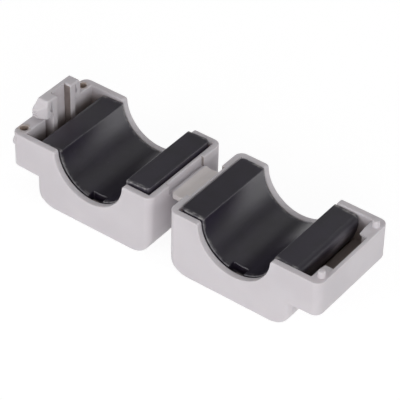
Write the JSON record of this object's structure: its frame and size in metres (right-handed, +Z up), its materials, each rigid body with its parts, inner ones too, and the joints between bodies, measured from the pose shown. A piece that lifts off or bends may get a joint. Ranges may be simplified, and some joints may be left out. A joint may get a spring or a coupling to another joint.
{
  "type": "clip-on ferrite bead",
  "caption": "Clip-on ferrite clamp for a round cable, lying open: two moulded half shells hinged by a strap, each holding a ferrite half ring, with a barbed latch tongue and locating pegs.",
  "frame": {"origin": "on the surface the open clamp lies on, under the middle of the hinge strap", "axes": "+X from the latch half to the catch half, +Y along the cable, +Z up"},
  "size_m": [0.0682, 0.0212, 0.018],
  "materials": {
    "case_plastic": "warm light grey moulded nylon with a fine matt texture",
    "ferrite": "sintered ferrite ceramic, charcoal grey with a soft satin sheen"
  },
  "bodies": {
    "latch_half": {"latch_shell": "case_plastic"},
    "latch_core": {"latch_side_core": "ferrite"},
    "strap": {"hinge_strap": "case_plastic"},
    "catch_half": {"catch_shell": "case_plastic"},
    "catch_core": {"catch_side_core": "ferrite"}
  },
  "joints": [
    {"name": "catch_hinge", "type": "hinge", "parent": "strap", "child": "catch_half", "pos_m": [0.00195, 0, 0.01137], "axis": [0, -1, 0], "range_deg": [0, 90]},
    {"name": "latch_hinge", "type": "hinge", "parent": "latch_half", "child": "strap", "pos_m": [-0.00195, 0, 0.01137], "axis": [0, -1, 0], "range_deg": [0, 90]},
    {"name": "latch_core_rock", "type": "hinge", "parent": "latch_half", "child": "latch_core", "pos_m": [-0.01605, 0, 0.0133], "axis": [0, 1, 0], "range_deg": [0, 3.5]},
    {"name": "catch_core_rock", "type": "hinge", "parent": "catch_half", "child": "catch_core", "pos_m": [0.01605, 0, 0.0133], "axis": [0, -1, 0], "range_deg": [0, 1.8]}
  ],
  "couplings": [
    {"joint": "latch_hinge", "follows": "catch_hinge", "ratio": 1},
    {"joint": "latch_core_rock", "follows": "catch_hinge", "ratio": 0.038889},
    {"joint": "catch_core_rock", "follows": "catch_hinge", "ratio": 0.02}
  ]
}
